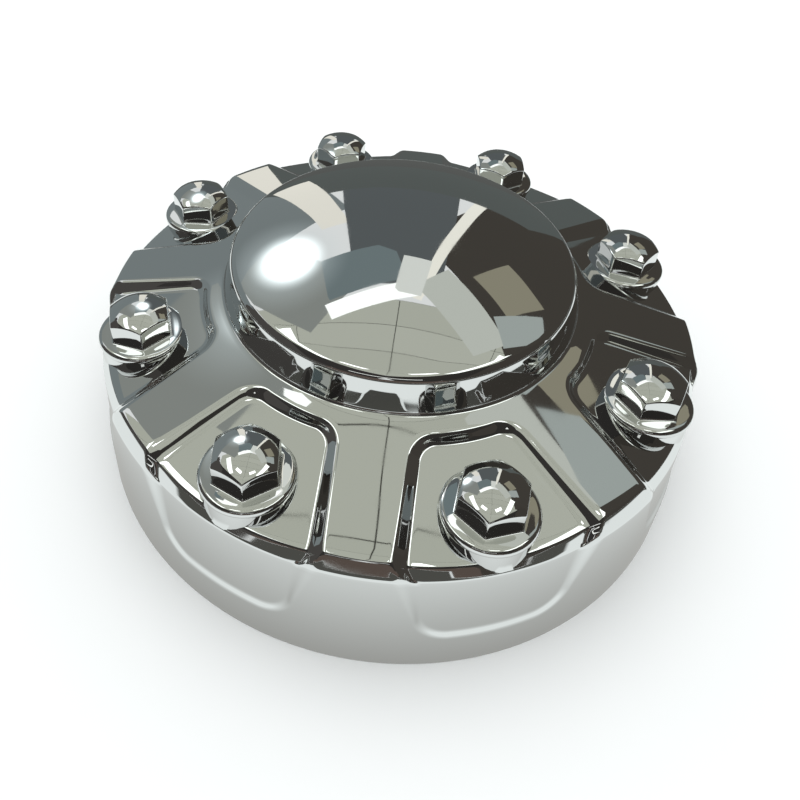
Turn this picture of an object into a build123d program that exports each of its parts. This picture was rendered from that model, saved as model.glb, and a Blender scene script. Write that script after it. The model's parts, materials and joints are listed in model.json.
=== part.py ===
from build123d import *
import math
import os

# Center cap of an eight-lug wheel: one plated moulding, dome up, open below.
# The axis of the cap is Z, the open rim of the skirt lies on Z = 0, sizes are millimetres.

# Lug pattern that the moulded nut shapes follow
LUG_CIRCLE_D = 210.0
LUG_COUNT = 8

# Thickness of the moulding
WALL = 2.8

# How far cutting tools run past the part, and how near a picked corner must lie
CUT_REACH = 20.0
PICK_TOL = 0.05

# Skirt: a slightly tapered band, closed above by a sloped shoulder
SKIRT_R = 125.0
SKIRT_TOP_R = 123.6
SHOULDER_Z = 53.5
SHOULDER_ROUND = 3.0

# Crown: the cone that carries the spokes
SPOKE_END_R = 120.3
SPOKE_END_Z = 59.3
SPOKE_END_ROUND = 2.0
CROWN_SLOPE = 13.9
SPOKE_WIDTH = 24.6

# Collar and dome
COLLAR_FOOT_R = 71.8
COLLAR_FOOT_ROUND = 2.0
COLLAR_TOP_R = 68.6
COLLAR_TOP_Z = 86.0
DOME_TOP_Z = 101.0
DOME_EDGE_ROUND = 5.0

# Pockets between the spokes
POCKET_START_R = 80.6
POCKET_START_DEPTH = 3.0
POCKET_SLOPE = 16.3
POCKET_CORNER_R = 7.5
POCKET_WALL_TILT = 45.0

# Facets of the skirt under the pockets
FACET_EDGE_R = 119.3
FACET_TOP_R = 122.2
FACET_TOP_Z = 50.8
FACET_LOW_R = 123.4
FACET_LOW_Z = 18.0
FACET_TOP_WIDTH = 73.0
FACET_LOW_WIDTH = 53.0
FACET_CORNER_R = 14.0
FACET_WALL_TILT = 30.0
FACET_REACH = 14.0
FACET_OVERLAP = 2.6

# Moulded nut shapes
NUT_SIDES = 6
NUT_ACROSS_FLATS = 21.8
NUT_CORNER_Z = 72.0
NUT_DOME_R = 20.0
NUT_HEX_HEIGHT = 8.0
FLANGE_R = 16.8
FLANGE_EDGE = 2.6
FLANGE_FALL = 0.8
FLANGE_CHAMFER = 0.8
BOSS_TOP_R = 16.0
BOSS_FOOT_R = 17.2
BOSS_FOOT_Z = 44.0
SOCKET_R = 13.4

# Ribs under the spokes
RIB_THICKNESS = 2.4
RIB_DEPTH = 9.0

LUG_R = LUG_CIRCLE_D / 2
LUG_PITCH = 360.0 / LUG_COUNT
HALF_PITCH = LUG_PITCH / 2
NUT_HALF_TURN = 180.0 / NUT_SIDES


def crown_z(radius):
    """Height of the crown cone at a distance from the axis."""
    return SPOKE_END_Z + (SPOKE_END_R - radius) * math.tan(math.radians(CROWN_SLOPE))


def at_lugs(shape):
    """One copy of a shape, drawn on the X axis, at each lug."""
    return [Rot(0, 0, HALF_PITCH + LUG_PITCH * i) * shape for i in range(LUG_COUNT)]


def at_spokes(shape):
    """One copy of a shape, drawn on the X axis, at each spoke."""
    return [Rot(0, 0, LUG_PITCH * i) * shape for i in range(LUG_COUNT)]


def corners(sketch, radius, height):
    """The two corners of a symmetric section at a radius and a height."""
    return sketch.vertices().filter_by(
        lambda v: math.hypot(abs(v.X) - radius, v.Y - height) < PICK_TOL
    )


def section(floor_z, rounded):
    """Whole upright section of the cap's outside, from floor_z up, drawn in the XY plane."""
    half = [
        (SKIRT_R, floor_z),
        (SKIRT_R, 0),
        (SKIRT_TOP_R, SHOULDER_Z),
        (SPOKE_END_R, SPOKE_END_Z),
        (COLLAR_FOOT_R, crown_z(COLLAR_FOOT_R)),
        (COLLAR_TOP_R, COLLAR_TOP_Z),
    ]
    if floor_z == 0:
        half.pop(0)
    right = Polyline(*half)
    left = mirror(right, Plane.YZ)
    dome = ThreePointArc(right @ 1, (0, DOME_TOP_Z), left @ 1)
    base = Line(right @ 0, left @ 0)
    sketch = make_face([right, left, dome, base])
    if not rounded:
        return sketch
    rounds = [
        (SKIRT_TOP_R, SHOULDER_Z, SHOULDER_ROUND),
        (SPOKE_END_R, SPOKE_END_Z, SPOKE_END_ROUND),
        (COLLAR_FOOT_R, crown_z(COLLAR_FOOT_R), COLLAR_FOOT_ROUND),
        (COLLAR_TOP_R, COLLAR_TOP_Z, DOME_EDGE_ROUND),
    ]
    for radius, height, size in rounds:
        sketch = fillet(corners(sketch, radius, height), size)
    return sketch


def spin(sketch):
    """Turns the right half of a symmetric section about the Z axis."""
    width = SKIRT_R + CUT_REACH
    height = DOME_TOP_Z + CUT_REACH
    right_half = sketch & Pos(width / 2, 0) * Rectangle(width, 2 * height)
    return revolve(Plane.XZ * right_half, Axis.Z)


def pocket_side(radius, spoke_half):
    """Half width of a pocket at a distance along its middle line, left by its two spokes."""
    angle = math.radians(HALF_PITCH)
    return radius * math.tan(angle) - spoke_half / math.cos(angle)


def pocket(grow):
    """Tool that cuts one pocket, with its floor and walls moved out by grow."""
    slope = math.radians(POCKET_SLOPE)
    tilt = math.radians(POCKET_WALL_TILT)
    floor = Plane(
        origin=(POCKET_START_R, 0, crown_z(POCKET_START_R) - POCKET_START_DEPTH),
        x_dir=(math.cos(slope), 0, -math.sin(slope)),
        z_dir=(math.sin(slope), 0, math.cos(slope)),
    ).offset(-grow)
    end_r = SKIRT_R + CUT_REACH
    length = (end_r - POCKET_START_R) / math.cos(slope)
    spoke_foot = SPOKE_WIDTH / 2 + POCKET_START_DEPTH * math.tan(tilt)
    start = pocket_side(POCKET_START_R, spoke_foot)
    end = pocket_side(end_r, spoke_foot)
    back = start**2 / (2 * POCKET_START_R)
    arc = ThreePointArc((-back, start), (0, 0), (-back, -start))
    sides = Polyline(arc @ 1, (length, -end), (length, end), arc @ 0)
    outline = make_face([arc, sides])
    outline = fillet(outline.vertices().group_by(Axis.X)[0], POCKET_CORNER_R)
    if grow > 0:
        outline = offset(outline, grow * (1 / math.cos(tilt) - math.tan(tilt)))
    return extrude(floor * outline, CUT_REACH, taper=-POCKET_WALL_TILT)


def facet(grow):
    """Tool that cuts one facet of the skirt, with its face and walls moved in by grow."""
    edge_z = crown_z(POCKET_START_R) - POCKET_START_DEPTH
    edge_z -= (FACET_EDGE_R - POCKET_START_R) * math.tan(math.radians(POCKET_SLOPE))
    top = edge_z + FACET_OVERLAP
    outline = make_face(
        Polyline(
            (-FACET_TOP_WIDTH / 2, top),
            (-FACET_LOW_WIDTH / 2, FACET_LOW_Z),
            (FACET_LOW_WIDTH / 2, FACET_LOW_Z),
            (FACET_TOP_WIDTH / 2, top),
            close=True,
        )
    )
    outline = fillet(outline.vertices().group_by(Axis.Y)[0], FACET_CORNER_R)
    start = Plane(origin=(SKIRT_R, 0, 0), x_dir=(0, -1, 0), z_dir=(-1, 0, 0))
    window = extrude(start * offset(outline, grow), FACET_REACH, taper=FACET_WALL_TILT)
    window += extrude(start * offset(outline, grow), -FACET_REACH)
    core = make_face(
        Polyline(
            (0, -CUT_REACH),
            (FACET_LOW_R - grow, -CUT_REACH),
            (FACET_LOW_R - grow, FACET_LOW_Z - grow),
            (FACET_TOP_R - grow, FACET_TOP_Z - grow / 2),
            (FACET_EDGE_R - grow, edge_z - grow / 2),
            (0, edge_z - grow / 2),
            close=True,
        )
    )
    return window - revolve(Plane.XZ * core, Axis.Z)


def hexagon_bar(corner_r, top_z):
    """Upright bar of a nut's cross-section, with a flat turned to the cap's rim."""
    hexagon = RegularPolygon(corner_r, NUT_SIDES, rotation=NUT_HALF_TURN)
    return Pos(0, 0, BOSS_FOOT_Z) * extrude(hexagon, top_z - BOSS_FOOT_Z)


def nut(inset):
    """One moulded nut with its flange and boss, or the core that hollows it when inset."""
    flange_top = NUT_CORNER_Z - NUT_HEX_HEIGHT
    flange_low = flange_top - FLANGE_FALL - FLANGE_EDGE
    corner_r = NUT_ACROSS_FLATS / 2 / math.cos(math.radians(NUT_HALF_TURN))
    if inset > 0:
        stem = Polyline(
            (0, BOSS_FOOT_Z),
            (SOCKET_R, BOSS_FOOT_Z),
            (SOCKET_R, flange_top - inset),
            (0, flange_top - inset),
            close=True,
        )
        stem = make_face(stem)
    else:
        stem = Polyline(
            (0, BOSS_FOOT_Z),
            (BOSS_FOOT_R, BOSS_FOOT_Z),
            (BOSS_TOP_R, flange_low),
            (FLANGE_R, flange_low),
            (FLANGE_R, flange_low + FLANGE_EDGE),
            (corner_r, flange_top),
            (0, flange_top),
            close=True,
        )
        stem = make_face(stem)
        rim = stem.vertices().filter_by(lambda v: abs(v.X - FLANGE_R) < PICK_TOL)
        stem = chamfer(rim.sort_by(Axis.Y)[-1], FLANGE_CHAMFER)
    body = revolve(Plane.XZ * stem, Axis.Z)
    ball_z = NUT_CORNER_Z - math.sqrt(NUT_DOME_R**2 - corner_r**2)
    if inset > 0:
        core_r = corner_r - inset / math.cos(math.radians(NUT_HALF_TURN))
        core_top = ball_z + math.sqrt(NUT_DOME_R**2 - core_r**2) - inset
        return Pos(LUG_R, 0, 0) * (body + hexagon_bar(core_r, core_top))
    ball = Pos(0, 0, ball_z) * Sphere(NUT_DOME_R)
    return Pos(LUG_R, 0, 0) * (body + (hexagon_bar(corner_r, ball_z + NUT_DOME_R) & ball))


def form(inset):
    """Solid outer form of the cap, or the form that hollows it when inset is the wall."""
    if inset > 0:
        body = spin(offset(section(-CUT_REACH, False), -inset, kind=Kind.INTERSECTION))
    else:
        body = spin(section(0, True))
    body -= at_lugs(pocket(inset))
    body -= at_lugs(facet(inset))
    body += at_lugs(nut(inset))
    return body


def ribs(hollow):
    """Upright ribs under the spokes, cut to the inside of the cap."""
    foot = COLLAR_FOOT_R - WALL
    end = SKIRT_R
    rib = make_face(
        Polyline(
            (foot, crown_z(foot)),
            (end, crown_z(end)),
            (end, crown_z(end) - WALL - RIB_DEPTH),
            (foot, crown_z(foot) - WALL - RIB_DEPTH),
            close=True,
        )
    )
    plate = extrude(Plane.XZ * rib, RIB_THICKNESS / 2, both=True)
    return [r & hollow for r in at_spokes(plate)]


def center_cap():
    """The whole moulding."""
    hollow = form(WALL)
    return form(0) - hollow + ribs(hollow)


if __name__ == "__main__":
    os.makedirs("parts", exist_ok=True)
    cap = center_cap()
    export_step(cap, "parts/center_cap.step")
    box = cap.bounding_box()
    print("center_cap", len(cap.solids()), "solid", round(cap.volume / 1000, 1), "cm3", box.size)
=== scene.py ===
# %% [markdown]
# A plated wheel center cap, dressed for its picture.
#
# The real object is one plastic moulding with bright chrome on it: a dome on a collar, a sloped crown cut
# into eight spokes, a sunk pocket with a nut shape between each two spokes, and a deep skirt.
# The CAD solid has the right forms but sharp edges and coarse triangles, and a mirror shows both.
# So the outside is modelled again here as one fine sheet with rounded edges, and the inside of the
# CAD solid is kept behind it.

# %% Load the frame
import json
import math

import bpy
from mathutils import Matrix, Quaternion, Vector

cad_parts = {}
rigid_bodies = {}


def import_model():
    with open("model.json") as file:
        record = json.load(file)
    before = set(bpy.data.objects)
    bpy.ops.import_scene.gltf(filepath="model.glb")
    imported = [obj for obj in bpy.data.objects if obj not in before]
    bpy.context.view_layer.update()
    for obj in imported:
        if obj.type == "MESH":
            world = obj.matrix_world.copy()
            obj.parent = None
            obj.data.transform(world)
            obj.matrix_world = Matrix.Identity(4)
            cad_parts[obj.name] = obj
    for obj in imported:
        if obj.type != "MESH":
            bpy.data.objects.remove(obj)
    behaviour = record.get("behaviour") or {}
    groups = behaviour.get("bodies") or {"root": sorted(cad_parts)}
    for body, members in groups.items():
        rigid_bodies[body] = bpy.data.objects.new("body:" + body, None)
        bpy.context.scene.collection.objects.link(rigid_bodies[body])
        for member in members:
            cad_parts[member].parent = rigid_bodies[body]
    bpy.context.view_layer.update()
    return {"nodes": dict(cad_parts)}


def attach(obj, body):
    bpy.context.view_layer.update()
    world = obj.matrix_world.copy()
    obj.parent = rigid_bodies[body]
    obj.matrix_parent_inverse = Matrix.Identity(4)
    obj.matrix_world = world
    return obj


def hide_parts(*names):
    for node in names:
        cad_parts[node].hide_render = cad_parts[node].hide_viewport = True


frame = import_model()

# %% [markdown]
# The sizes are those of the part's source, in millimetres, because a maker reads them more easily. The
# facet's top and the boss under a nut shape are up to 0.6 mm smaller here, so that the rounded edges
# and the union come out clean. Blender works in metres, so every finished point is scaled once, by MM.

# %% Sizes of the cap
MM = 0.001
LUG_COUNT = 8
HALF_PITCH = math.pi / LUG_COUNT
LUG_R = 105.0
SKIRT_R, SKIRT_TOP_R, SHOULDER_Z, SHOULDER_ROUND = 125.0, 123.6, 53.5, 3.0
SPOKE_END_R, SPOKE_END_Z, SPOKE_END_ROUND = 120.3, 59.3, 2.0
CROWN_FALL = math.tan(math.radians(13.9))
COLLAR_FOOT_R, COLLAR_FOOT_ROUND = 71.8, 2.0
COLLAR_TOP_R, COLLAR_TOP_Z = 68.6, 86.0
DOME_TOP_Z, DOME_EDGE_ROUND = 101.0, 5.0
POCKET_R, POCKET_DEPTH, POCKET_CORNER_R = 80.6, 3.0, 7.5
POCKET_FALL = math.tan(math.radians(16.3))
SPOKE_FOOT = 24.6 / 2 + POCKET_DEPTH
FACET_EDGE_R, FACET_EDGE_ROUND = 119.3, 1.6
FACET_TOP_R, FACET_TOP_Z, FACET_TOP_ROUND = 121.8, 50.8, 2.0
FACET_LOW_R, FACET_LOW_Z, FACET_CORNER_R = 123.4, 18.0, 14.0
FACET_TOP_HALF, FACET_LOW_HALF, FACET_SPAN = 36.5, 26.5, 39.4
FACET_WALL = math.tan(math.radians(30))
SIDE_LEAN, END_RUN = 0.96, 1.9
MERGE_GAP, CAD_MERGE_GAP, LOWEST = 0.008 * MM, 0.002 * MM, 0.02 * MM


def crown_z(r):
    """Height of the crown cone at a distance from the axis."""
    return SPOKE_END_Z + (SPOKE_END_R - r) * CROWN_FALL


def floor_z(r, turn):
    """Height of a pocket's flat floor, at a distance from the axis and a turn from the pocket's middle."""
    start = crown_z(POCKET_R) - POCKET_DEPTH
    return start - (r * math.cos(turn) - POCKET_R) * POCKET_FALL


def skirt_r(z):
    """Radius of the tapered skirt at a height."""
    return SKIRT_R + (SKIRT_TOP_R - SKIRT_R) * z / SHOULDER_Z


def facet_r(z):
    """Radius of the facet that is sunk into the skirt, at a height."""
    return FACET_LOW_R + (FACET_TOP_R - FACET_LOW_R) * (z - FACET_LOW_Z) / (FACET_TOP_Z - FACET_LOW_Z)


print("crown at the collar:", round(crown_z(COLLAR_FOOT_R), 1), "mm")
print("pocket floor at the lugs:", round(floor_z(LUG_R, 0), 1), "mm")

# %% [markdown]
# Helpers. A rounded corner is an arc that touches both of its sides. A wall between two surfaces is a
# short run of steps: it leaves the upper surface in a small curve, falls, and meets the lower surface in
# another curve. Each step holds how far across the wall it lies and how much of the depth it has reached.

# %% Helpers for profiles
def mix(a, b, t):
    """The value or point a share t of the way from a to b."""
    return a + (b - a) * t


def corner_arc(before, corner, after, radius, steps):
    """Points of the arc that rounds a corner of a profile, from its first side to its second."""
    before, corner, after = Vector(before), Vector(corner), Vector(after)
    first = (before - corner).normalized()
    second = (after - corner).normalized()
    half = math.acos(max(-1.0, min(1.0, first.dot(second)))) / 2
    centre = corner + (first + second).normalized() * radius / math.sin(half)
    start = corner + first * radius / math.tan(half) - centre
    side = 1 if first.x * second.y - first.y * second.x < 0 else -1
    points = []
    for i in range(steps + 1):
        a = side * (math.pi - 2 * half) * i / steps
        x = start.x * math.cos(a) - start.y * math.sin(a)
        y = start.x * math.sin(a) + start.y * math.cos(a)
        points.append(centre + Vector((x, y)))
    return points


CURVE_STEPS = 4
WALL_STEPS = 2 * CURVE_STEPS + 3


def wall_step(k, run, curve, rest):
    """Place across a wall and share of its depth at step k: 0 is outside the rim, WALL_STEPS on the floor."""
    a = min(curve / run, 0.45)
    if k <= 0:
        return -a - rest / run, 0.0
    if k <= CURVE_STEPS + 1:
        t = (k - 1) / CURVE_STEPS
        return a * (t * t - (1 - t) ** 2), a * t * t
    if k < WALL_STEPS:
        t = (WALL_STEPS - 1 - k) / CURVE_STEPS
        return 1 - a * (t * t - (1 - t) ** 2), 1 - a * t * t
    return 1 + a + rest / run, 1.0


print("steps across a pocket wall:", WALL_STEPS + 1)

# %% [markdown]
# The sheet. One eighth of the outside, from the middle of a spoke over a pocket to the middle of the
# next spoke, starts as a flat grid. Its columns run from the dome down to the rim, its rows run round
# the cap. Near a pocket the rows and columns close up into nested outlines, so every edge of the cap
# has grid lines along it and can be rounded. A boolean cut would be quicker, but it leaves slivers
# beside its edges, and those show as dents in a mirror.

# %% Rows and columns of the sheet
ARC_COLUMNS, FLOOR_COLUMNS, SPOKE_COLUMNS = 4, 12, 7
COL_IN = ARC_COLUMNS + FLOOR_COLUMNS
COL_OUT = COL_IN + WALL_STEPS
COL_END = COL_OUT + SPOKE_COLUMNS

DOME_ROWS, ROUND_ROWS, RING_ROWS = 20, 8, 3
ARC_ROWS, SIDE_ROWS, BEVEL_ROWS, FACET_ROWS, BAND_ROWS, LIP_ROWS = 4, 10, 5, 12, 6, 4
RING_R = 76.0
SIDE_END_R = 116.5
FACET_START_Z = 46.5
RIM_CURVE, RIM_REST = 1.35, 0.9
FACET_LOW_RUN, FACET_TOP_RUN, FACET_CURVE = 1.7, 4.6, 0.42
LIP_ROUND = 0.8


def dome_z(r):
    """Height of the dome, a piece of a ball, at a distance from the axis."""
    rise = DOME_TOP_Z - COLLAR_TOP_Z
    ball = (COLLAR_TOP_R**2 + rise**2) / (2 * rise)
    return DOME_TOP_Z - ball + math.sqrt(ball**2 - r * r)


def dome_profile():
    """Profile of dome, collar and inner crown, from the middle of the dome out to RING_R."""
    dome = [(r, dome_z(r)) for r in (COLLAR_TOP_R * 0.93, COLLAR_TOP_R)]
    foot = (COLLAR_FOOT_R, crown_z(COLLAR_FOOT_R))
    edge = corner_arc(dome[0], dome[1], foot, DOME_EDGE_ROUND, ROUND_ROWS)
    profile = []
    for i in range(DOME_ROWS):
        r = edge[0].x * i / DOME_ROWS
        profile.append((r, dome_z(r)))
    profile += [tuple(p) for p in edge]
    base = corner_arc(dome[1], foot, (RING_R, crown_z(RING_R)), COLLAR_FOOT_ROUND, ROUND_ROWS)
    profile.append(tuple(mix(edge[-1], base[0], 0.5)))
    profile += [tuple(p) for p in base]
    halfway = mix(base[-1].x, RING_R, 0.5)
    profile.append((halfway, crown_z(halfway)))
    return profile


DOME = dome_profile()
TOP = RING_ROWS
ROW_IN = TOP + WALL_STEPS
ROW_SIDE = ROW_IN + ARC_ROWS
ROW_BEVEL = ROW_SIDE + SIDE_ROWS
BEVEL_END = ROW_BEVEL + 3 * BEVEL_ROWS
ROW_FACET = BEVEL_END + FACET_ROWS
ROW_OUT = ROW_FACET + ARC_ROWS
ROW_LOW = ROW_OUT + WALL_STEPS
ROW_LIP = ROW_LOW + BAND_ROWS
ROW_END = ROW_LIP + LIP_ROWS
print("rows:", len(DOME) + ROW_END + 1, "columns in one eighth:", 2 * COL_END + 1)

# %% [markdown]
# The outline of a pocket. Seen from above, it has two straight sides that keep one distance from the
# spokes' middle lines, a round inner end and two round corners. It then folds over the shoulder and
# runs down the skirt as a U. side_place gives a point of that outline on one of its long sides, and
# end_place a point on its inner end or on the bottom of the U.

# %% Places on the pocket outline
CORNER_R = POCKET_R + POCKET_CORNER_R
CORNER_TURN = HALF_PITCH - math.asin((SPOKE_FOOT + POCKET_CORNER_R) / CORNER_R)
CORNER = CORNER_R * Vector((math.cos(CORNER_TURN), math.sin(CORNER_TURN)))
SIDE_START = CORNER_R * math.cos(HALF_PITCH - CORNER_TURN)
SIDE_NORMAL, END_NORMAL = math.pi / 2 + HALF_PITCH, math.pi + CORNER_TURN

LEAN = math.atan2(FACET_TOP_HALF - FACET_LOW_HALF, FACET_SPAN)
LOW_HALF_ANGLE = (math.pi / 2 + LEAN) / 2
LOW_CORNER_X = FACET_LOW_HALF - FACET_CORNER_R / math.tan(LOW_HALF_ANGLE)
LOW_CORNER = Vector((LOW_CORNER_X, FACET_LOW_Z + FACET_CORNER_R))


def side_run(r):
    """Width of the slanted wall beside a spoke, which grows with the pocket's depth."""
    return SIDE_LEAN * (POCKET_DEPTH + (r - POCKET_R) * (POCKET_FALL - CROWN_FALL))


def beside_spoke(k, r):
    """Turn of wall step k at a distance from the axis, on the straight side of a pocket."""
    run = side_run(r)
    across, depth = wall_step(k, run, RIM_CURVE, RIM_REST)
    return HALF_PITCH - math.asin((SPOKE_FOOT - (1 - across) * run) / r), depth


def on_crown(r, turn, depth):
    """A point between the crown and the pocket floor."""
    return r, mix(crown_z(r), floor_z(r, turn), depth), turn


def facet_run(z):
    """Width of the wall round the facet, which grows towards the shoulder."""
    share = max(0.0, min(1.0, (z - LOW_CORNER.y) / (FACET_TOP_Z - LOW_CORNER.y)))
    return mix(FACET_LOW_RUN, FACET_TOP_RUN, share)


def on_skirt(k, angle, z):
    """A point of the U at wall step k, at an angle round its corner, or at a height of its slanted side."""
    half = FACET_LOW_HALF
    reach = SKIRT_R
    for _ in range(6):
        run = FACET_LOW_RUN if angle is not None else facet_run(z)
        across, depth = wall_step(k, run, FACET_CURVE * run, RIM_REST)
        depth_in = SKIRT_R - math.sqrt(reach * reach - half * half)
        grow = (0.5 - across) * run - depth_in * FACET_WALL
        if angle is None:
            half = FACET_LOW_HALF + (z - FACET_LOW_Z) * math.tan(LEAN) + grow / math.cos(LEAN)
        else:
            z = LOW_CORNER.y + (FACET_CORNER_R + grow) * math.sin(angle)
            half = LOW_CORNER.x + (FACET_CORNER_R + grow) * math.cos(angle)
        reach = mix(skirt_r(z), facet_r(z), depth)
    return reach, z, math.asin(half / reach)


SPOKE_END_LINE = [
    (SIDE_END_R, crown_z(SIDE_END_R)),
    (SPOKE_END_R, SPOKE_END_Z),
    (SKIRT_TOP_R, SHOULDER_Z),
    (skirt_r(FACET_START_Z), FACET_START_Z),
]


def floor_end_line(turn):
    """Points of the floor's end in the pocket, one for each point of the spoke end."""
    edge = [(r, floor_z(r, turn)) for r in (SIDE_END_R, FACET_EDGE_R)]
    return edge + [(FACET_TOP_R, FACET_TOP_Z), (facet_r(FACET_START_Z), FACET_START_Z)]


def bevel_path(line, first_round, second_round, step):
    """One step along a line with two rounded corners, then its start, its plain corner and its end."""
    first = corner_arc(line[0], line[1], line[2], first_round, BEVEL_ROWS)
    second = corner_arc(line[1], line[2], line[3], second_round, BEVEL_ROWS)
    gap = [mix(first[-1], second[0], i / BEVEL_ROWS) for i in range(1, BEVEL_ROWS)]
    path = first + gap + second
    rise, run = line[1][1] - line[0][1], line[1][0] - line[0][0]
    corner = Vector((line[2][0], line[0][1] + rise * (line[2][0] - line[0][0]) / run))
    return path[step], path[0], corner, path[-1]


def bevel_point(row, turn, depth):
    """A point of the fold over the shoulder, between the spoke end and the floor end."""
    step = min(row - ROW_BEVEL, 3 * BEVEL_ROWS)
    outer = bevel_path(SPOKE_END_LINE, SPOKE_END_ROUND, SHOULDER_ROUND, step)
    inner = bevel_path(floor_end_line(turn), FACET_EDGE_ROUND, FACET_TOP_ROUND, step)
    place, start, corner, end = (mix(p, q, depth) for p, q in zip(outer, inner))
    t = step / (3 * BEVEL_ROWS)
    plain = start * (1 - t) ** 2 + corner * 2 * t * (1 - t) + end * t * t
    place = mix(place, plain, math.sin(math.pi * depth))
    return place.x, place.y, turn


def fold_depth(k):
    """Share of the wall's depth that step k has where the fold meets the U."""
    return wall_step(k, FACET_TOP_RUN, FACET_CURVE * FACET_TOP_RUN, RIM_REST)[1]


def side_place(k, row):
    """Point of wall step k on the long side of the outline, as radius, height and turn."""
    k = max(k, 0)
    if row <= ROW_SIDE:
        first = TOP + k
        share = (row - first) / (ROW_SIDE - first)
        angle = mix((SIDE_NORMAL + END_NORMAL) / 2, SIDE_NORMAL, share)
        return round_corner(k, angle)
    if row <= ROW_BEVEL:
        start = round_corner(k, SIDE_NORMAL)[0]
        r = mix(start, SIDE_END_R, (row - ROW_SIDE) / SIDE_ROWS)
        turn, depth = beside_spoke(k, r)
        return on_crown(r, turn, depth)
    if row <= BEVEL_END:
        upper, depth = beside_spoke(k, bevel_point(ROW_BEVEL + BEVEL_ROWS, 0, 0)[0])
        if row <= ROW_BEVEL + BEVEL_ROWS:
            r = bevel_point(row, 0, 0)[0]
            turn, depth = beside_spoke(k, r)
            return bevel_point(row, turn, depth)
        share = (row - ROW_BEVEL - BEVEL_ROWS) / (2 * BEVEL_ROWS)
        lower = on_skirt(k, None, bevel_point(BEVEL_END, 0, fold_depth(k))[1])[2]
        return bevel_point(row, mix(upper, lower, share), mix(depth, fold_depth(k), share))
    if row <= ROW_FACET:
        high = bevel_point(BEVEL_END, 0, fold_depth(k))[1]
        low = on_skirt(k, -LEAN, 0)[1]
        return on_skirt(k, None, mix(high, low, (row - BEVEL_END) / FACET_ROWS))
    last = ROW_OUT + WALL_STEPS - k
    share = (last - row) / (last - ROW_FACET)
    return on_skirt(k, mix(-(LEAN + math.pi / 2) / 2, -LEAN, share), 0)


def round_corner(k, angle):
    """Point of wall step k on the round corner at the inner end of a pocket."""
    share = (angle - SIDE_NORMAL) / (END_NORMAL - SIDE_NORMAL)
    run = mix(side_run(SIDE_START), END_RUN, share)
    across, depth = wall_step(k, run, RIM_CURVE, RIM_REST)
    place = CORNER + (POCKET_CORNER_R + (1 - across) * run) * Vector((math.cos(angle), math.sin(angle)))
    return on_crown(place.length, math.atan2(place.y, place.x), depth)


def end_place(k, column):
    """Point of wall step k on the inner end of the outline."""
    last = COL_IN + WALL_STEPS - k
    if column >= COL_IN - ARC_COLUMNS:
        share = (last - column) / (last - COL_IN + ARC_COLUMNS)
        return round_corner(k, mix((SIDE_NORMAL + END_NORMAL) / 2, END_NORMAL, share))
    r, z, turn = round_corner(k, END_NORMAL)
    depth = wall_step(k, END_RUN, RIM_CURVE, RIM_REST)[1]
    return on_crown(r, turn * column / (COL_IN - ARC_COLUMNS), depth)


def low_place(k, column):
    """Point of wall step k on the bottom of the U."""
    last = COL_IN + WALL_STEPS - k
    if column >= COL_IN - ARC_COLUMNS:
        share = (last - column) / (last - COL_IN + ARC_COLUMNS)
        return on_skirt(k, mix(-(LEAN + math.pi / 2) / 2, -math.pi / 2, share), 0)
    r, z, turn = on_skirt(k, -math.pi / 2, 0)
    return r, z, turn * column / (COL_IN - ARC_COLUMNS)


# %% [markdown]
# Filling in. Inside the outline the sheet lies on the floor and the facet, outside it on the crown and
# the skirt. Both are filled by spacing the points evenly between the outline and the edge of the eighth,
# and then setting their height from the surface they belong to.

# %% Places of every grid point
def spoke_middle(row):
    """Point on the middle line of a spoke."""
    if row <= ROW_SIDE:
        r = mix(RING_R, SIDE_START, row / ROW_SIDE)
        return r, crown_z(r), HALF_PITCH
    if row <= ROW_BEVEL:
        r = mix(SIDE_START, SIDE_END_R, (row - ROW_SIDE) / SIDE_ROWS)
        return r, crown_z(r), HALF_PITCH
    if row <= BEVEL_END:
        return bevel_point(row, HALF_PITCH, 0)
    z = mix(bevel_point(BEVEL_END, 0, 0)[1], low_place(0, 0)[1], (row - BEVEL_END) / (ROW_LOW - BEVEL_END))
    return skirt_r(z), z, HALF_PITCH


def outer_point(a, b, t, row):
    """A point of the crown, spoke end or skirt between two others."""
    r, z, turn = (mix(p, q, t) for p, q in zip(a, b))
    if row <= ROW_BEVEL:
        return r, crown_z(r), turn
    if row <= BEVEL_END:
        return bevel_point(row, turn, 0)
    return skirt_r(z), z, turn


def floor_point(row, column):
    """A point of the pocket floor, of its end or of the facet."""
    edge = side_place(WALL_STEPS, row)
    turn = edge[2] * column / COL_IN
    across = (column / COL_IN) ** 2
    if row <= ROW_BEVEL:
        share = (row - ROW_IN) / (ROW_BEVEL - ROW_IN)
        top = end_place(WALL_STEPS, column)
        top_middle, top_edge = end_place(WALL_STEPS, 0), end_place(WALL_STEPS, COL_IN)
        r = mix(mix(top_middle[0], SIDE_END_R, share), edge[0], across)
        r += (top[0] - mix(top_middle[0], top_edge[0], across)) * (1 - share)
        turn += mix(top[2] - top_edge[2] * column / COL_IN, 0, share)
        return on_crown(r, turn, 1.0)
    if row <= BEVEL_END:
        return bevel_point(row, turn, 1.0)
    share = (row - BEVEL_END) / (ROW_OUT - BEVEL_END)
    low = low_place(WALL_STEPS, column)
    low_middle, low_edge = low_place(WALL_STEPS, 0), low_place(WALL_STEPS, COL_IN)
    z = mix(mix(bevel_point(BEVEL_END, 0, 1.0)[1], low_middle[1], share), edge[1], across)
    z += (low[1] - mix(low_middle[1], low_edge[1], across)) * share
    turn += (low[2] - low_edge[2] * column / COL_IN) * share
    return facet_r(z), z, turn


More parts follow.
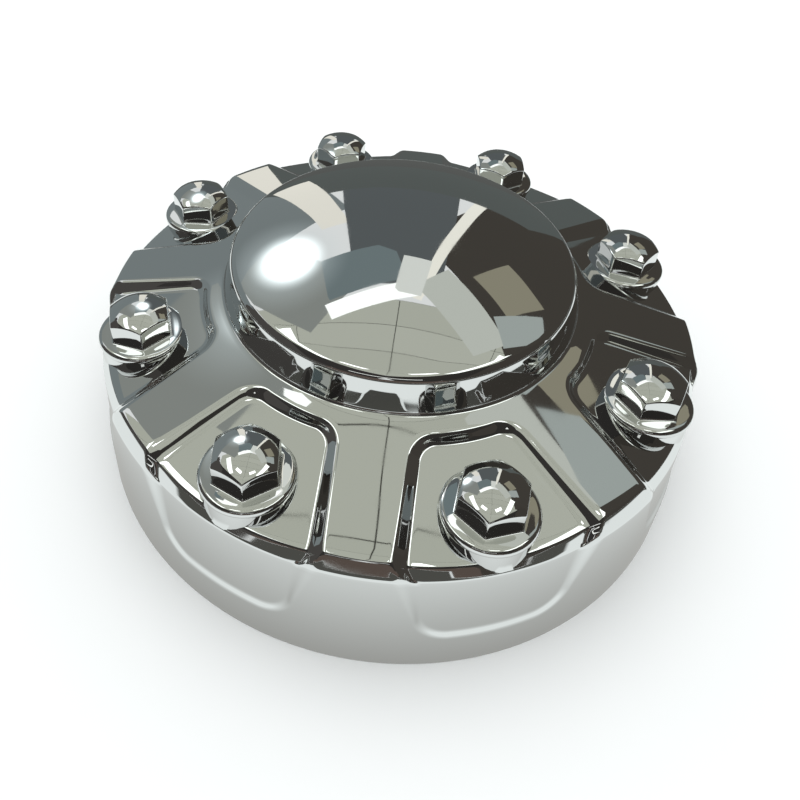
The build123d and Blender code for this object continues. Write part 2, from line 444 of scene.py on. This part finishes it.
def lip_point(row, turn):
    """A point of the plain band under the U, or of the rounded lip that the cap stands on."""
    start = low_place(0, 0)[1]
    if row <= ROW_LIP:
        z = mix(start, LIP_ROUND, (row - ROW_LOW) / BAND_ROWS)
        return skirt_r(z), z, turn
    a = math.pi / 2 * (row - ROW_LIP) / LIP_ROWS
    return SKIRT_R - LIP_ROUND * (1 - math.cos(a)), LIP_ROUND * (1 - math.sin(a)), turn


def ring_point(row, column):
    """A point of the crown between the dome's foot and the inner end of a pocket."""
    if column <= COL_OUT:
        edge = end_place(0, column)
        return outer_point((RING_R, 0, edge[2]), edge, row / TOP, row)
    share = (column - COL_OUT) / SPOKE_COLUMNS
    left = ring_point(row, COL_OUT)
    right = spoke_middle(row)
    return outer_point(left, right, share, row)


def cap_point(row, column):
    """Radius, height and turn of one point of the sheet's half, counted from the ring outwards."""
    if row < TOP:
        return ring_point(row, column)
    if row > ROW_LOW:
        return lip_point(row, cap_point(ROW_LOW, column)[2])
    k = min(COL_OUT - column, row - TOP, ROW_LOW - row)
    if k >= WALL_STEPS:
        return floor_point(row, column)
    if k < 0:
        return outer_point(side_place(0, row), spoke_middle(row), -k / SPOKE_COLUMNS, row)
    if k == COL_OUT - column:
        return side_place(k, row)
    if k == row - TOP:
        return end_place(k, column)
    return low_place(k, column)


def sheet_point(row, column):
    """Place of one grid point in metres."""
    side = 1 if column >= COL_END else -1
    half = abs(column - COL_END)
    if row < len(DOME):
        r, z = DOME[row]
        turn = ring_point(0, half)[2]
    else:
        r, z, turn = cap_point(row - len(DOME), half)
    a = side * turn + HALF_PITCH
    return Vector((r * math.cos(a), r * math.sin(a), z)) * MM


# %% [markdown]
# A grid primitive is laid flat and each of its points is then carried to its place on the cap. Three
# doublings, by half a turn, a quarter and an eighth, make the whole ring from one piece.

# %% Make the outside
def draped_grid(name, columns, rows, place):
    """A grid primitive whose points are carried to place(row, column)."""
    bpy.ops.object.select_all(action="DESELECT")
    bpy.ops.mesh.primitive_grid_add(x_subdivisions=columns, y_subdivisions=rows, size=2)
    obj = bpy.context.object
    obj.name = name
    for vertex in obj.data.vertices:
        column = round((vertex.co.x + 1) / 2 * columns)
        row = round((vertex.co.y + 1) / 2 * rows)
        vertex.co = place(row, column)
    return obj


def edit(obj):
    """Opens one object in edit mode with all of it selected."""
    bpy.ops.object.select_all(action="DESELECT")
    obj.select_set(True)
    bpy.context.view_layer.objects.active = obj
    bpy.ops.object.mode_set(mode="EDIT")
    bpy.ops.mesh.select_all(action="SELECT")


def double_round(obj, turns):
    """Copies all of a mesh about the cap's axis, once for each turn."""
    edit(obj)
    for turn in turns:
        bpy.ops.mesh.select_all(action="SELECT")
        bpy.ops.mesh.duplicate()
        bpy.ops.transform.rotate(value=turn, orient_axis="Z", center_override=(0, 0, 0))
    bpy.ops.mesh.select_all(action="SELECT")
    bpy.ops.mesh.remove_doubles(threshold=MERGE_GAP)
    bpy.ops.object.mode_set(mode="OBJECT")


def close_bottom(obj):
    """Fills the open lower edge with one face and turns all faces outwards."""
    edit(obj)
    bpy.ops.mesh.select_all(action="DESELECT")
    bpy.ops.mesh.select_mode(type="EDGE")
    bpy.ops.mesh.select_non_manifold()
    bpy.ops.mesh.edge_face_add()
    bpy.ops.mesh.select_all(action="SELECT")
    bpy.ops.mesh.normals_make_consistent(inside=False)
    bpy.ops.mesh.select_mode(type="VERT")
    bpy.ops.object.mode_set(mode="OBJECT")


EIGHTHS = (math.pi, math.pi / 2, math.pi / 4)
cap = draped_grid("center_cap_shell", 2 * COL_END, len(DOME) + ROW_END, sheet_point)
double_round(cap, EIGHTHS)
close_bottom(cap)
print("outside:", len(cap.data.vertices), "points,", len(cap.data.polygons), "faces")

# %% [markdown]
# The nut shapes. Each is a hexagon with a domed top on a round flange, and the flange sits on a boss that
# runs into the pocket floor. Its section is lathe-like, so it starts as a grid too: the columns go round a
# hexagon with rounded corners and the rows go from the top of the dome down the flats, over the flange
# and down the boss. It is united with the cap, because it is moulded in one with it.

# %% Sizes and rows of a nut shape
NUT_SIDES = 6
NUT_FLAT, NUT_CORNER_ROUND = 21.8 / 2, 0.7
NUT_CORNER = NUT_FLAT / math.cos(math.pi / NUT_SIDES)
NUT_CORNER_Z, NUT_DOME_R, NUT_HEIGHT = 72.0, 20.0, 8.0
FLANGE_R, FLANGE_EDGE, FLANGE_FALL, FLANGE_ROUND = 16.8, 2.6, 0.8, 1.7
BOSS_TOP_R, BOSS_FOOT_R, BOSS_FOOT_Z = 15.9, 16.6, 44.0
NUT_EDGE_CURVE, NUT_FOOT_CURVE = 0.45, 0.6
FLAT_COLUMNS, TURN_COLUMNS = 8, 4
SIDE_COLUMNS = FLAT_COLUMNS + TURN_COLUMNS
NUT_COLUMNS = NUT_SIDES * SIDE_COLUMNS
NUT_TOP_ROWS, NUT_CURVE_ROWS, FLANGE_ROWS, NUT_SIDE_ROWS = 8, 4, 7, 3
FLANGE_TOP = NUT_CORNER_Z - NUT_HEIGHT
FLANGE_LOW = FLANGE_TOP - FLANGE_FALL - FLANGE_EDGE
BALL_Z = NUT_CORNER_Z - math.sqrt(NUT_DOME_R**2 - NUT_CORNER**2)


def hexagon_point(column):
    """Point of the rounded hexagon, with a flat on the +X side."""
    side, step = divmod(column % NUT_COLUMNS, SIDE_COLUMNS)
    mid = side * 2 * math.pi / NUT_SIDES
    inner = NUT_FLAT - NUT_CORNER_ROUND
    half = inner * math.tan(math.pi / NUT_SIDES)
    along = half * (2 * min(step, FLAT_COLUMNS) / FLAT_COLUMNS - 1)
    turn = mid + 2 * math.pi / NUT_SIDES * max(step - FLAT_COLUMNS, 0) / TURN_COLUMNS
    x = inner * math.cos(mid) - along * math.sin(mid)
    y = inner * math.sin(mid) + along * math.cos(mid)
    return Vector((x, y)) + NUT_CORNER_ROUND * Vector((math.cos(turn), math.sin(turn)))


def ball_z(r):
    """Height of the nut's domed top."""
    return BALL_Z + math.sqrt(NUT_DOME_R**2 - r * r)


def curve(a, b, c, steps):
    """Soft corner from a past b to c."""
    a, b, c = Vector(a), Vector(b), Vector(c)
    shares = [i / steps for i in range(steps + 1)]
    return [a * (1 - t) ** 2 + b * 2 * t * (1 - t) + c * t * t for t in shares]


def straight(a, b, steps):
    """Points between a and b, without the two ends."""
    shares = [i / steps for i in range(1, steps)]
    return [(mix(a[0], b[0], t), mix(a[1], b[1], t)) for t in shares]


def nut_profile(flat_r):
    """Section of the nut shape where its side lies flat_r from its axis."""
    inner = flat_r - NUT_EDGE_CURVE
    edge_z = ball_z(flat_r)
    rim_z = FLANGE_TOP - FLANGE_FALL
    foot = FLANGE_TOP - FLANGE_FALL * max(flat_r - NUT_CORNER, 0) / (FLANGE_R - NUT_CORNER)
    side_top = (flat_r, edge_z - NUT_EDGE_CURVE)
    side_foot = (flat_r, foot + NUT_FOOT_CURVE)
    flange_in = (flat_r + NUT_FOOT_CURVE, mix(foot, rim_z, NUT_FOOT_CURVE / (FLANGE_R - flat_r)))
    flange_out = (FLANGE_R - FLANGE_ROUND, rim_z + FLANGE_FALL * FLANGE_ROUND / 4)
    under = (FLANGE_R, FLANGE_LOW + NUT_EDGE_CURVE)
    boss_top, boss_foot = (BOSS_TOP_R, FLANGE_LOW), (BOSS_FOOT_R, BOSS_FOOT_Z)
    radii = [inner * i / NUT_TOP_ROWS for i in range(NUT_TOP_ROWS)]
    rows = [(r, ball_z(r)) for r in radii]
    rows += curve((inner, ball_z(inner)), (flat_r, edge_z), side_top, NUT_CURVE_ROWS)
    rows += straight(side_top, side_foot, NUT_SIDE_ROWS)
    rows += curve(side_foot, (flat_r, foot), flange_in, NUT_CURVE_ROWS)
    rows += straight(flange_in, flange_out, NUT_SIDE_ROWS)
    rows += curve(flange_out, (FLANGE_R, rim_z), (FLANGE_R, rim_z - FLANGE_ROUND), FLANGE_ROWS)
    rows += curve(under, (FLANGE_R, FLANGE_LOW), boss_top, NUT_CURVE_ROWS)
    rows += straight(boss_top, boss_foot, NUT_SIDE_ROWS) + [boss_foot]
    return rows


NUT_ROWS = len(nut_profile(NUT_FLAT)) - 1
print("points in the section of a nut shape:", NUT_ROWS + 1)


def nut_point(row, column):
    """Place of one grid point of the first nut shape in metres."""
    rim = hexagon_point(column)
    r, z = nut_profile(rim.length)[row]
    turn = math.atan2(rim.y, rim.x)
    x, y = LUG_R + r * math.cos(turn), r * math.sin(turn)
    a = HALF_PITCH
    return Vector((x * math.cos(a) - y * math.sin(a), x * math.sin(a) + y * math.cos(a), z)) * MM


# %% [markdown]
# One nut shape is made, closed underneath and repeated round the axis. The union with the cap leaves one
# closed surface. Its new edges lie where the boss rises steeply from the floor, so they don't show.

# %% Make the nut shapes and unite them with the cap
nuts = draped_grid("nut_shapes", NUT_COLUMNS, NUT_ROWS, nut_point)
edit(nuts)
bpy.ops.mesh.remove_doubles(threshold=MERGE_GAP)
bpy.ops.object.mode_set(mode="OBJECT")
close_bottom(nuts)
double_round(nuts, EIGHTHS)
print("nut shapes:", len(nuts.data.polygons), "faces")

union = cap.modifiers.new("nuts", "BOOLEAN")
union.operation = "UNION"
union.solver = "EXACT"
union.object = nuts
bpy.context.view_layer.objects.active = cap
bpy.ops.object.modifier_apply(modifier=union.name)
bpy.data.objects.remove(nuts, do_unlink=True)
print("united outside:", len(cap.data.polygons), "faces")

# %% [markdown]
# The inside. Nobody polishes it and the photograph doesn't show it, so the CAD solid's own inner faces are
# right for it: the even wall, the ribs under the spokes and the hollow under each nut shape. A copy of the
# CAD mesh is merged and its flat rim is deleted. That leaves two islands, and the outer one, found from the
# top of the dome, goes too. What stays is joined to the new outside and bridged to its lip.

# %% Keep the inside of the CAD solid
def pick_faces(obj, wanted):
    """Opens an object in edit mode with only the wanted faces selected."""
    edit(obj)
    bpy.ops.mesh.select_mode(type="FACE")
    bpy.ops.mesh.select_all(action="DESELECT")
    bpy.ops.object.mode_set(mode="OBJECT")
    for face in obj.data.polygons:
        face.select = wanted(face)
    bpy.ops.object.mode_set(mode="EDIT")


node = frame["nodes"]["center_cap"]
inside = bpy.data.objects.new("cap_inside", node.data.copy())
bpy.context.collection.objects.link(inside)
edit(inside)
bpy.ops.mesh.remove_doubles(threshold=CAD_MERGE_GAP)
bpy.ops.object.mode_set(mode="OBJECT")


def flat_rim(obj):
    """Test for the faces of an object that lie in the plane it stands on."""
    return lambda face: all(obj.data.vertices[v].co.z < LOWEST for v in face.vertices)


pick_faces(inside, flat_rim(inside))
bpy.ops.mesh.delete(type="FACE")
bpy.ops.object.mode_set(mode="OBJECT")
pick_faces(inside, lambda face: face.center.z > (DOME_TOP_Z - 1) * MM)
bpy.ops.mesh.select_linked()
bpy.ops.mesh.delete(type="FACE")
bpy.ops.object.mode_set(mode="OBJECT")
inside_top = max(v.co.z for v in inside.data.vertices) / MM
print("inside:", len(inside.data.polygons), "faces, up to", round(inside_top, 1), "mm")

# %% [markdown]
# Chrome. Plated plastic is a true mirror with two small faults: it is never quite flat, so what it mirrors
# wavers, and it carries faint smears from handling. One group makes both from the object's own coordinates,
# and puts out a roughness and a normal.

# %% Group for the faults of a plated surface
def new_group(name, inputs, outputs):
    """An empty shader group with number inputs and the given outputs."""
    group = bpy.data.node_groups.new(name, "ShaderNodeTree")
    for label in inputs:
        group.interface.new_socket(label, in_out="INPUT", socket_type="NodeSocketFloat")
    for label, kind in outputs:
        group.interface.new_socket(label, in_out="OUTPUT", socket_type=kind)
    return group, group.nodes.new("NodeGroupInput"), group.nodes.new("NodeGroupOutput")


plated, plated_in, plated_out = new_group(
    "plated_surface", ("Wave", "Smooth", "Smeared"),
    (("Roughness", "NodeSocketFloat"), ("Normal", "NodeSocketVector")))
nodes, links = plated.nodes, plated.links
place = nodes.new("ShaderNodeTexCoord")
wave = nodes.new("ShaderNodeTexNoise")
wave.inputs["Scale"].default_value = 22
wave.inputs["Detail"].default_value = 1
bump = nodes.new("ShaderNodeBump")
bump.inputs["Distance"].default_value = 0.004
smear = nodes.new("ShaderNodeTexNoise")
smear.inputs["Scale"].default_value = 60
smear.inputs["Detail"].default_value = 5
level = nodes.new("ShaderNodeMapRange")
level.inputs["From Min"].default_value = 0.45
level.inputs["From Max"].default_value = 0.75
links.new(place.outputs["Object"], wave.inputs["Vector"])
links.new(wave.outputs["Fac"], bump.inputs["Height"])
links.new(plated_in.outputs["Wave"], bump.inputs["Strength"])
links.new(place.outputs["Object"], smear.inputs["Vector"])
links.new(smear.outputs["Fac"], level.inputs["Value"])
links.new(plated_in.outputs["Smooth"], level.inputs["To Min"])
links.new(plated_in.outputs["Smeared"], level.inputs["To Max"])
links.new(level.outputs["Result"], plated_out.inputs["Roughness"])
links.new(bump.outputs["Normal"], plated_out.inputs["Normal"])


def plating(name, colour, wave, smooth, smeared):
    """A metal material with the group's roughness and normal."""
    material = bpy.data.materials.new(name)
    material.use_nodes = True
    shader = material.node_tree.nodes["Principled BSDF"]
    shader.inputs["Base Color"].default_value = (*colour, 1)
    shader.inputs["Metallic"].default_value = 1
    finish = material.node_tree.nodes.new("ShaderNodeGroup")
    finish.node_tree = plated
    finish.inputs["Wave"].default_value = wave
    finish.inputs["Smooth"].default_value = smooth
    finish.inputs["Smeared"].default_value = smeared
    for label in ("Roughness", "Normal"):
        material.node_tree.links.new(finish.outputs[label], shader.inputs[label])
    return material


chrome = plating("chrome", (0.655, 0.665, 0.66), 0.06, 0.02, 0.06)
dull = plating("dull_plating", (0.50, 0.50, 0.49), 0.05, 0.42, 0.56)
print("materials:", chrome.name, dull.name)

# %% [markdown]
# Inside and outside get their materials and their smooth shading and become one mesh. Bridging the two
# open loops at the bottom makes the flat rim that the cap stands on.

# %% Join the inside to the outside
INSIDE_SMOOTH, OUTSIDE_SMOOTH = math.radians(10), math.radians(30)
for obj, material, angle in ((inside, dull, INSIDE_SMOOTH), (cap, chrome, OUTSIDE_SMOOTH)):
    obj.data.materials.append(material)
    bpy.ops.object.select_all(action="DESELECT")
    obj.select_set(True)
    bpy.context.view_layer.objects.active = obj
    bpy.ops.object.shade_smooth_by_angle(angle=angle)
pick_faces(cap, flat_rim(cap))
bpy.ops.mesh.delete(type="ONLY_FACE")
bpy.ops.object.mode_set(mode="OBJECT")
inside.select_set(True)
bpy.ops.object.join()
edit(cap)
bpy.ops.mesh.select_mode(type="EDGE")
bpy.ops.mesh.select_all(action="DESELECT")
bpy.ops.object.mode_set(mode="OBJECT")
for line in cap.data.edges:
    line.select = all(cap.data.vertices[v].co.z < LOWEST for v in line.vertices)
bpy.ops.object.mode_set(mode="EDIT")
bpy.ops.mesh.bridge_edge_loops()
bpy.ops.mesh.select_mode(type="VERT")
bpy.ops.object.mode_set(mode="OBJECT")
open_edges = sum(1 for e in cap.data.edges if e.is_loose)
print("cap:", len(cap.data.polygons), "faces, loose edges:", open_edges)

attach(cap, "root")
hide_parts("center_cap")

# %% [markdown]
# The camera stands in front of the cap, a little to the right, and looks down at it with a wide lens. It is
# tilted by a few degrees, as a hand-held camera is.

# %% Camera
CAMERA_PLACE = Vector((9.9, -248.8, 284.2))
CAMERA_TURN, CAMERA_TILT, CAMERA_ROLL = (math.radians(a) for a in (6.91, 40.70, 2.71))
camera_data = bpy.data.cameras.new("camera")
camera = bpy.data.objects.new("camera", camera_data)
bpy.context.collection.objects.link(camera)
camera.location = CAMERA_PLACE * MM
ahead = Vector((-math.sin(CAMERA_TURN), math.cos(CAMERA_TURN), -math.tan(CAMERA_TILT)))
look = ahead.to_track_quat("-Z", "Y")
camera.rotation_euler = (look @ Quaternion((0, 0, 1), CAMERA_ROLL)).to_euler()
camera_data.sensor_width = 36
camera_data.lens = 35.7
camera_data.shift_x = 0.0606
camera_data.shift_y = -0.1531
camera_data.clip_start = 0.01
bpy.context.scene.camera = camera
print("camera at", [round(v, 3) for v in camera.location], "m, lens", round(camera_data.lens, 1), "mm")

# %% [markdown]
# The room. The floor is white and the world is pale. A mirror has no colour of its own, so its looks are
# those of the room: cards round the cap stand for a ceiling of pale tiles, a bright window on the left,
# slate walls at the back and dark wood on the right. They are seen only in reflections.

# %% Floor, world and light
bpy.ops.mesh.primitive_plane_add(size=8)
floor = bpy.context.object
floor.name = "floor"
white = bpy.data.materials.new("white_floor")
white.use_nodes = True
nodes, links = white.node_tree.nodes, white.node_tree.links
paint = nodes["Principled BSDF"]
paint.inputs["Base Color"].default_value = (0.86, 0.87, 0.87, 1)
paint.inputs["Roughness"].default_value = 0.9
paint.inputs["Specular IOR Level"].default_value = 0
floor.data.materials.append(white)
facing = nodes.new("ShaderNodeNewGeometry")
clear = nodes.new("ShaderNodeBsdfTransparent")
one_sided = nodes.new("ShaderNodeMixShader")
links.new(facing.outputs["Backfacing"], one_sided.inputs[0])
links.new(paint.outputs["BSDF"], one_sided.inputs[1])
links.new(clear.outputs["BSDF"], one_sided.inputs[2])
links.new(one_sided.outputs["Shader"], nodes["Material Output"].inputs["Surface"])

world = bpy.data.worlds.new("world")
bpy.context.scene.world = world
world.use_nodes = True
world.node_tree.nodes["Background"].inputs["Color"].default_value = (1.0, 1.02, 1.02, 1)

lamp_data = bpy.data.lights.new("overhead", "AREA")
lamp_data.shape = "DISK"
lamp_data.size = 1.6
lamp_data.energy = 8
lamp = bpy.data.objects.new("overhead", lamp_data)
lamp.location = (-0.2, 0.1, 1.6)
lamp.visible_glossy = False
bpy.context.collection.objects.link(lamp)
print("floor, world and one lamp:", lamp.name)

# %% [markdown]
# The cards. Each is given by the compass angles and the heights, in degrees, between which the cap sees
# it, so a reflection in the photograph turns straight into a card. Most stand far off. The window's glow
# hangs close to the dome, because the photograph shows it there and not on the crown.

# %% Cards that the chrome mirrors
CARD_CENTRE = Vector((0, 0, 0.08))
CARD_DISTANCE, NEAR_DISTANCE = 1.5, 0.173


def card(name, left, right, low, high, colour, soft=0.0, distance=CARD_DISTANCE):
    """A glowing card between two compass angles, from the back to the right, and two heights in degrees."""
    middle = math.radians((left + right) / 2)
    rise = math.radians((low + high) / 2)
    away = Vector((math.sin(middle) * math.cos(rise), math.cos(middle) * math.cos(rise), math.sin(rise)))
    wide = 2 * distance * math.cos(rise) * math.tan(math.radians((right - left) / 2))
    tall = 2 * distance * math.tan(math.radians((high - low) / 2))
    bpy.ops.mesh.primitive_plane_add(size=2, location=CARD_CENTRE + away * distance)
    obj = bpy.context.object
    obj.name = name
    obj.rotation_euler = away.to_track_quat("-Z", "Y").to_euler()
    obj.scale = (wide / 2, tall / 2, 1)
    obj.data.materials.append(glow(name, colour, soft))
    dress(obj)
    return obj


def dress(obj):
    """Keeps a card out of everything except reflections."""
    obj.visible_camera = False
    obj.visible_diffuse = False
    obj.visible_shadow = False
    obj.visible_transmission = False


def glow(name, colour, soft):
    """A plain glowing material, whose rim fades out when soft is above 0."""
    material = bpy.data.materials.new(name)
    material.use_nodes = True
    tree = material.node_tree
    tree.nodes.clear()
    out = tree.nodes.new("ShaderNodeOutputMaterial")
    light = tree.nodes.new("ShaderNodeEmission")
    light.inputs["Color"].default_value = (*colour, 1)
    if soft == 0:
        tree.links.new(light.outputs[0], out.inputs["Surface"])
        return material
    where = tree.nodes.new("ShaderNodeTexCoord")
    ball = tree.nodes.new("ShaderNodeTexGradient")
    ball.gradient_type = "SPHERICAL"
    fade = tree.nodes.new("ShaderNodeMath")
    fade.operation = "POWER"
    fade.inputs[1].default_value = soft
    clear = tree.nodes.new("ShaderNodeBsdfTransparent")
    blend = tree.nodes.new("ShaderNodeMixShader")
    tree.links.new(where.outputs["Object"], ball.inputs["Vector"])
    tree.links.new(ball.outputs["Fac"], fade.inputs[0])
    tree.links.new(fade.outputs["Value"], blend.inputs[0])
    tree.links.new(clear.outputs[0], blend.inputs[1])
    tree.links.new(light.outputs[0], blend.inputs[2])
    tree.links.new(blend.outputs[0], out.inputs["Surface"])
    return material


card("back_wall", -80, 80, -7, 17, (0.12, 0.135, 0.13))
card("slate_wall", -21, 13, 14, 66, (0.125, 0.14, 0.145))
card("left_wall", -90, -20, -7, 34, (0.24, 0.275, 0.28))
card("left_panel", -72, -38, 32, 66, (0.31, 0.33, 0.31))
card("left_dark", -150, -82, -7, 42, (0.085, 0.080, 0.075))
card("right_dark", 84, 150, -7, 42, (0.065, 0.058, 0.050))
card("right_wall", 13, 90, -7, 58, (0.070, 0.063, 0.054))
card("right_panel", 15, 75, 57, 70, (0.66, 0.69, 0.63))
card("pale_wall", -28, -20, 2, 36, (1.05, 1.02, 0.92))
card("slate_band", -46, -3, 50, 66, (0.20, 0.25, 0.26))
card("light_strip", -60, 11, 67, 73, (1.6, 1.65, 1.6))
card("door", -3, 13, 54, 69, (0.90, 0.93, 0.88))
card("streak", 11.5, 15.5, 13, 70, (1.15, 1.13, 1.02))
card("wood_panel", 32, 54, 38, 52, (0.34, 0.32, 0.24))
card("right_light", 55, 72, 40, 56, (0.46, 0.51, 0.49))
card("front_left", 180, 262, 10, 50, (0.045, 0.042, 0.040))
card("front_right", 98, 180, 10, 50, (0.040, 0.037, 0.034))
card("front_low", 120, 240, -12, 11, (0.13, 0.10, 0.085))
card("front_strip", 150, 212, 24, 27, (1.3, 1.32, 1.28))
for side, middle in (("left", 214), ("right", 146)):
    card("front_lamp_" + side, middle - 14, middle + 14, 64, 69, (3.0, 3.1, 3.0))
for side, middle in (("left", -108), ("right", 108)):
    card("side_lamp_" + side, middle - 26, middle + 26, 52, 60, (2.2, 2.3, 2.2))
card("halo", -93, -33, 17, 64, (0.80, 0.90, 0.92), 1.5, NEAR_DISTANCE + 0.01)
card("window", -83, -43, 25, 56, (9.0, 9.8, 10.0), 2.2, NEAR_DISTANCE)

# %% [markdown]
# The table. The skirt looks down, so it mirrors the table. The mat carries a painted shadow: it is darker
# close to the cap, where the cap's own shadow would fall, then pale, and dark past the table's edge. The
# spoke ends at the back mirror the floor behind it.

# %% Table and floor that the chrome mirrors
bpy.ops.mesh.primitive_plane_add(size=2, location=(0, 0.95, 0.002))
behind = bpy.context.object
behind.name = "floor_behind"
behind.scale = (1.4, 0.7, 1)
behind.data.materials.append(glow("floor_behind", (0.12, 0.125, 0.12), 0))
dress(behind)

bpy.ops.mesh.primitive_circle_add(vertices=64, radius=1.45, fill_type="NGON", location=(0, 0, 0.0005))
mat = bpy.context.object
mat.name = "table_mat_painted_shadow"
shade = glow("table_mat_painted_shadow", (0.8, 0.8, 0.8), 0)
tree = shade.node_tree
where = tree.nodes.new("ShaderNodeTexCoord")
reach = tree.nodes.new("ShaderNodeVectorMath")
reach.operation = "LENGTH"
# Painted shadow round the cap's foot: the mat is dark close to the cap, pale from 0.175 m out, and dark again
# past its edge at 0.44 m.
ramp = tree.nodes.new("ShaderNodeValToRGB")
ramp.color_ramp.elements[0].position = 0.122
ramp.color_ramp.elements[0].color = (0.42, 0.42, 0.40, 1)
ramp.color_ramp.elements[1].position = 0.175
ramp.color_ramp.elements[1].color = (1.06, 1.11, 1.10, 1)
for reach_m, shade_colour in ((0.40, (1.06, 1.11, 1.10, 1)), (0.44, (0.10, 0.10, 0.09, 1))):
    ramp.color_ramp.elements.new(reach_m).color = shade_colour
tree.links.new(where.outputs["Object"], reach.inputs[0])
tree.links.new(reach.outputs["Value"], ramp.inputs["Fac"])
tree.links.new(ramp.outputs["Color"], tree.nodes["Emission"].inputs["Color"])
mat.data.materials.append(shade)
dress(mat)
print("table:", mat.name, "and", behind.name)

# %% [markdown]
# The ceiling has pale tiles with thin dark joints. The dome and the front spokes mirror it.

# %% Ceiling
bpy.ops.mesh.primitive_plane_add(size=2, location=(0, -0.59, 1.7))
ceiling = bpy.context.object
ceiling.name = "ceiling"
ceiling.scale = (1.9, 1.12, 1)
tiles = glow("ceiling", (0.45, 0.46, 0.41), 0)
tree = tiles.node_tree
where = tree.nodes.new("ShaderNodeTexCoord")
brick = tree.nodes.new("ShaderNodeTexBrick")
brick.inputs["Color1"].default_value = (0.55, 0.57, 0.49, 1)
brick.inputs["Color2"].default_value = (0.60, 0.62, 0.54, 1)
brick.inputs["Mortar"].default_value = (0.06, 0.06, 0.05, 1)
brick.inputs["Scale"].default_value = 1.0
brick.inputs["Mortar Size"].default_value = 0.002
brick.offset = 0
tree.links.new(where.outputs["Object"], brick.inputs["Vector"])
tree.links.new(brick.outputs["Color"], tree.nodes["Emission"].inputs["Color"])
ceiling.data.materials.append(tiles)
dress(ceiling)
print("ceiling at", round(ceiling.location.z, 2), "m")

# %% Finish
bpy.context.scene.view_settings.view_transform = "Standard"
